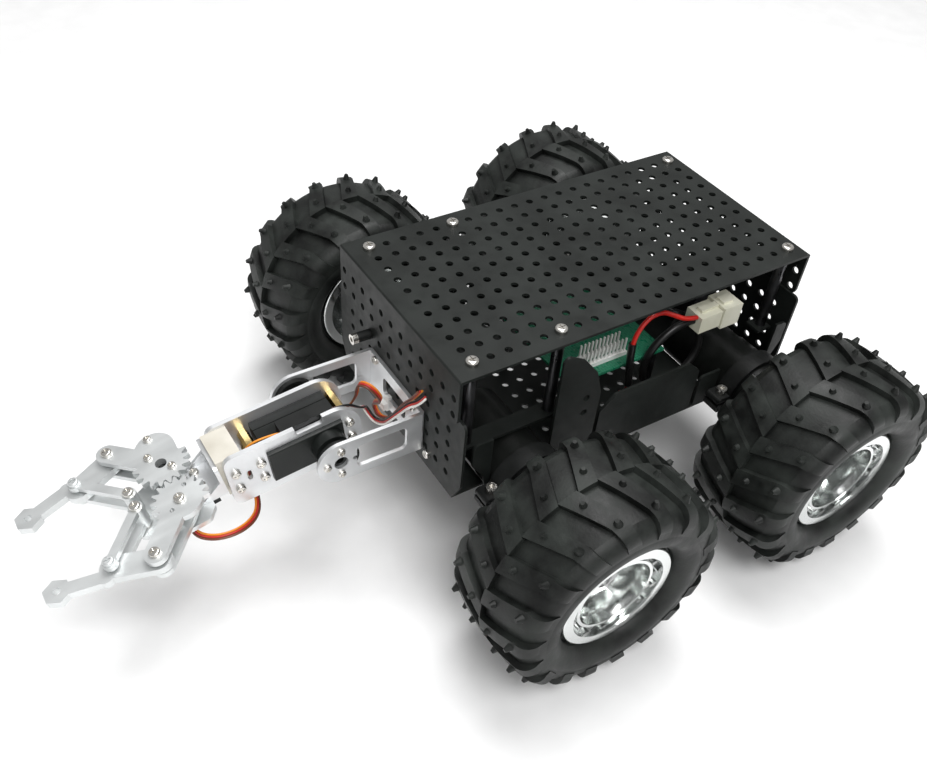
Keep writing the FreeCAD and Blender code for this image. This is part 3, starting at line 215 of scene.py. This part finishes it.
BRUSHED = (1, 0.06, 1)
MATERIALS = {
    "black_sheet": finish("powder_coat", (0.0085, 0.0100, 0.0090), (0.0150, 0.0175, 0.0160),
                          (0.36, 0.52), grain=1600, bump=0.4, depth=0.00012, specular=0.22),
    "zinc_screw": finish("zinc", (0.62, 0.6, 0.56), (0.82, 0.8, 0.76), (0.16, 0.34), 1.0,
                         grain=2500, bump=0.12),
    "dark_steel": finish("dark_steel", (0.10, 0.10, 0.105), (0.2, 0.2, 0.21), (0.25, 0.45), 1.0,
                         grain=1500),
    "board_green": board_material(),
    "header_plastic": finish("header", (0.66, 0.66, 0.62), (0.86, 0.86, 0.84), (0.35, 0.5),
                             grain=900),
    "connector_cream": finish("nylon", (0.66, 0.65, 0.52), (0.84, 0.83, 0.70), (0.35, 0.55),
                              grain=600, coat=0.1),
    "terminal_green": finish("terminal", (0.008, 0.008, 0.009), (0.018, 0.018, 0.020),
                             (0.4, 0.55), specular=0.3),
    "wire_black": finish("black_wire", (0.004, 0.004, 0.004), (0.010, 0.010, 0.010),
                         (0.26, 0.4), grain=1200, specular=0.35),
    "wire_red": finish("red_wire_skin", (0.42, 0.008, 0.006), (0.66, 0.02, 0.012), (0.3, 0.42),
                       coat=0.15),
    "black_plastic": finish("black_moulding", (0.0055, 0.006, 0.0058), (0.013, 0.014, 0.0135),
                            (0.36, 0.52), grain=1400, bump=0.3, specular=0.25),
    "motor_black": finish("motor_tube", (0.004, 0.0045, 0.004), (0.009, 0.010, 0.009),
                          (0.28, 0.42), grain=1000, specular=0.3),
    "aluminium_bracket": finish("brushed_sheet", (0.72, 0.73, 0.74), (0.84, 0.85, 0.86),
                                (0.34, 0.50), 0.85, grain=1200, bump=0.22, stretch=BRUSHED),
    "servo_black": finish("servo_case", (0.0055, 0.0065, 0.006), (0.012, 0.014, 0.013),
                          (0.28, 0.44), grain=1300, bump=0.25, specular=0.25),
    "white_nylon": finish("tie_nylon", (0.72, 0.72, 0.7), (0.88, 0.88, 0.86), (0.3, 0.45)),
    "lead_ribbon": finish("lead_skin", (0.5, 0.12, 0.02), (0.7, 0.2, 0.04), (0.35, 0.5)),
    "brass": finish("brass_post", (0.56, 0.40, 0.16), (0.78, 0.6, 0.28), (0.16, 0.32), 1.0,
                    grain=1500),
    "block_cream": finish("moulded_block", (0.50, 0.47, 0.40), (0.70, 0.67, 0.60),
                          (0.4, 0.55), grain=800, bump=0.25),
    "tyre_rubber": tyre_material(),
    "rim_chrome": finish("chrome_plate", (0.74, 0.76, 0.75), (0.88, 0.90, 0.89), (0.14, 0.22),
                         1.0, grain=60, bump=0.01, depth=0.00002),
    "hub_steel": finish("nut_steel", (0.42, 0.42, 0.42), (0.66, 0.66, 0.66), (0.2, 0.36), 1.0,
                        grain=1800),
    "gripper_alu": finish("gripper_plate", (0.68, 0.70, 0.70), (0.80, 0.82, 0.82),
                          (0.34, 0.50), 0.8, grain=1400, bump=0.22, stretch=BRUSHED),
}
LEAD_COLOURS = {
    "orange": finish("lead_orange", (0.60, 0.17, 0.01), (0.80, 0.30, 0.02), (0.35, 0.5)),
    "red": finish("lead_red", (0.38, 0.012, 0.01), (0.56, 0.03, 0.02), (0.35, 0.5)),
    "brown": finish("lead_brown", (0.10, 0.028, 0.012), (0.17, 0.05, 0.022), (0.35, 0.5)),
    "white": finish("lead_white", (0.72, 0.70, 0.66), (0.86, 0.85, 0.82), (0.35, 0.5)),
    "black": MATERIALS["wire_black"],
}

SLOT_OF = {s["node"]: s["material_slot"] for s in frame["record"]["subparts"]}
for node, obj in frame["nodes"].items():
    material = MATERIALS[SLOT_OF[node]]
    obj.data.materials.clear() if not obj.material_slots else None
    for place in obj.material_slots:
        place.material = material


# ---------------------------------------------------------------- wires and leads

SHOULDER_LEAD = ((-2, -146.9, 83.92), (-2, -138.5, 84.95), (-1, -133.5, 92.5),
                 (2, -134.5, 101), (6, -135, 108), (11.5, -131.5, 108), (13.5, -127, 100),
                 (6, -124, 90), (-4, -122, 81), (-9, -119.8, 74.5), (-4.5, -118.9, 68.5),
                 (5, -117.5, 74.5), (11, -116, 84.5), (17, -115, 95), (23.5, -114.4, 103),
                 (28, -113.5, 111))
EXTENSION_LEAD = ((4.2, -150.9, 95), (4.5, -142.5, 96), (6, -135.5, 91), (-1, -129.5, 83.5),
                  (-10, -124.5, 73.5), (-6, -121.8, 66.5), (4, -121, 71.5),
                  (11, -120, 81), (17.5, -118.6, 90.5), (23.5, -117, 99.5), (30, -115, 105.5),
                  (33.5, -113.8, 112))
GRIPPER_LEAD = ((-8.5, -225.1, 53), (1, -225.6, 53.3), (10, -230, 56.5), (19.5, -229, 59.5),
                (26.5, -223, 62), (28, -214, 62), (24, -205, 59.5), (16.5, -198, 56.5),
                (8, -194.3, 56), (2, -194, 62.5), (1.2, -195.2, 72), (1.8, -196.5, 81.5),
                (3, -195, 89.5), (4.2, -187, 92.6), (4.2, -178.35, 91.7))
POWER_LOOP = ((50, 41.45, 114), (50, 34, 114.2), (49.6, 25.5, 111), (49.2, 18, 104.5),
              (48.9, 14, 95.5), (48.6, 14.5, 85.5), (48, 19, 76.5), (47.5, 27, 70.5),
              (47, 37, 68.5), (46.5, 47, 71.5), (46, 55, 78), (45, 58.5, 87.5),
              (43, 57, 97.5), (39, 50.5, 104.5), (32.5, 43.5, 107), (25, 38, 105.5))
RED_WIRE = ((52, 41.45, 117), (52, 33.5, 118.5), (51.5, 24, 124.5), (51.2, 14.5, 130),
            (51, 6, 128.5), (51, 0.5, 121), (51, -0.8, 111.5), (51, 0.6, 101.5),
            (50.8, 2.6, 92), (50, 4.5, 82.5), (47, 7, 74), (41, 9.5, 67.5))
RED_SLEEVE = ((51, -0.75, 114.5), (51, -0.2, 106), (51, 1.0, 98), (50.8, 2.7, 90.5),
              (50.2, 4.2, 83.5))


def route_curve(name, points, r):
    """Round tube on one smooth curve with the route's points as its control points."""
    data = bpy.data.curves.new(name, "CURVE")
    data.dimensions = "3D"
    data.bevel_depth = r * MM
    data.bevel_resolution = 5
    data.resolution_u = 10
    data.use_fill_caps = True
    spline = data.splines.new("NURBS")
    spline.points.add(len(points) - 1)
    for point, place in zip(spline.points, points):
        point.co = (*at(*place), 1.0)
    spline.order_u = 3
    spline.use_endpoint_u = True
    obj = bpy.data.objects.new(name, data)
    bpy.context.scene.collection.objects.link(obj)
    return obj


def centre_line(points):
    """Points along the route's smooth curve, read from the curve with no bevel."""
    bare = route_curve("bare_line", points, 0.0)
    mesh = bpy.data.meshes.new_from_object(bare)
    line = [v.co.copy() for v in mesh.vertices]
    bpy.data.objects.remove(bare)
    bpy.data.meshes.remove(mesh)
    return line


def ribbon_frames(line):
    """A sideways direction at each point of the line that turns as little as possible."""
    sides = []
    side = None
    for i, here in enumerate(line):
        ahead = line[min(i + 1, len(line) - 1)] - line[max(i - 1, 0)]
        ahead.normalize()
        if side is None:
            side = ahead.orthogonal().normalized()
        side = (side - ahead * side.dot(ahead)).normalized()
        sides.append((side.copy(), ahead.cross(side).normalized()))
    return sides


def tube_mesh(name, line, frames, offset, r, material, fan=0.0):
    """Tube that runs beside the line at a sideways offset, as one wire of a ribbon."""
    mesh = bmesh.new()
    around = 10
    rings = []
    for i, here in enumerate(line):
        side, up = frames[i]
        part = i / (len(line) - 1)
        spread_here = 1.0 + fan * max(0.0, 1.0 - min(part, 1.0 - part) * 9.0)
        centre = here + side * (offset * MM * spread_here)
        loop = []
        for k in range(around):
            a = 2 * math.pi * k / around
            loop.append(mesh.verts.new(centre + (side * math.cos(a) + up * math.sin(a)) * r * MM))
        rings.append(loop)
    for one, two in zip(rings, rings[1:]):
        for k in range(around):
            mesh.faces.new((one[k], one[(k + 1) % around], two[(k + 1) % around], two[k]))
    mesh.faces.new(list(reversed(rings[0])))
    mesh.faces.new(rings[-1])
    bmesh.ops.recalc_face_normals(mesh, faces=mesh.faces)
    data = bpy.data.meshes.new(name)
    mesh.to_mesh(data)
    mesh.free()
    for polygon in data.polygons:
        polygon.use_smooth = True
    data.materials.append(material)
    obj = bpy.data.objects.new(name, data)
    bpy.context.scene.collection.objects.link(obj)
    return obj


def ribbon(name, points, colours, node):
    """Flat three-wire lead; the pieces stand for the lead's solid."""
    line = centre_line(points)
    frames = ribbon_frames(line)
    wires = []
    for offset, colour in zip((-1.15, 0.0, 1.15), colours):
        wire = tube_mesh(name + "_" + colour, line, frames, offset, 0.58,
                         LEAD_COLOURS[colour])
        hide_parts(node)
        wires.append(wire)
    return wires, line


def cross_shoulder(wires):
    for wire in wires:
        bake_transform(wire)


servo_wires, servo_line = ribbon("servo_lead", SHOULDER_LEAD, ("orange", "red", "brown"),
                                 "shoulder_servo_lead")
cross_shoulder(servo_wires)
extension_wires, extension_line = ribbon("extension", EXTENSION_LEAD, ("white", "red", "black"),
                                         "extension_lead")
cross_shoulder(extension_wires)
gripper_wires, gripper_line = ribbon("gripper_wire", GRIPPER_LEAD, ("brown", "red", "orange"),
                                     "gripper_lead")
for wire in gripper_wires:
    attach(wire, "forearm")

for name, points, r, material, node in (
        ("power_loop", POWER_LOOP, 2.2, "wire_black", "battery_wire"),
        ("red_supply_wire", RED_WIRE, 1.3, "wire_red", "red_wire")):
    wire = route_curve(name, points, r)
    wire.data.materials.append(MATERIALS[material])
    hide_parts(node)
    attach(wire, "chassis")
sleeve = route_curve("red_wire_sleeve", RED_SLEEVE, 2.1)
sleeve.data.materials.append(MATERIALS["wire_black"])
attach(sleeve, "chassis")


# ---------------------------------------------------------------- stage

def add_floor():
    bpy.ops.mesh.primitive_plane_add(size=12, location=(0, 0, CAD_BOX[0][2]))
    floor = bpy.context.object
    floor.name = "floor"
    material = finish("pale_floor", (0.86, 0.86, 0.86), (0.9, 0.9, 0.9), (0.6, 0.7), grain=60,
                      bump=0.02)
    floor.data.materials.append(material)


def add_light(name, place, size, power, aim=(0, 0, 0.06)):
    data = bpy.data.lights.new(name, "AREA")
    data.shape = "DISK"
    data.size = size
    data.energy = power
    light = bpy.data.objects.new(name, data)
    bpy.context.scene.collection.objects.link(light)
    light.location = place
    direction = Vector(aim) - Vector(place)
    light.rotation_euler = direction.to_track_quat("-Z", "Y").to_euler()


def add_world():
    world = bpy.data.worlds.new("studio")
    bpy.context.scene.world = world
    world.use_nodes = True
    background = world.node_tree.nodes["Background"]
    background.inputs["Color"].default_value = (1.0, 1.0, 1.0, 1)
    background.inputs["Strength"].default_value = 0.42
    bpy.context.scene.view_settings.view_transform = "Standard"


add_floor()
add_world()
add_light("key", (0.75, -0.15, 1.35), 0.7, 12)
add_light("fill", (1.2, -0.5, 0.8), 0.9, 2.5)
add_light("top", (-0.25, 0.3, 1.5), 0.9, 17)
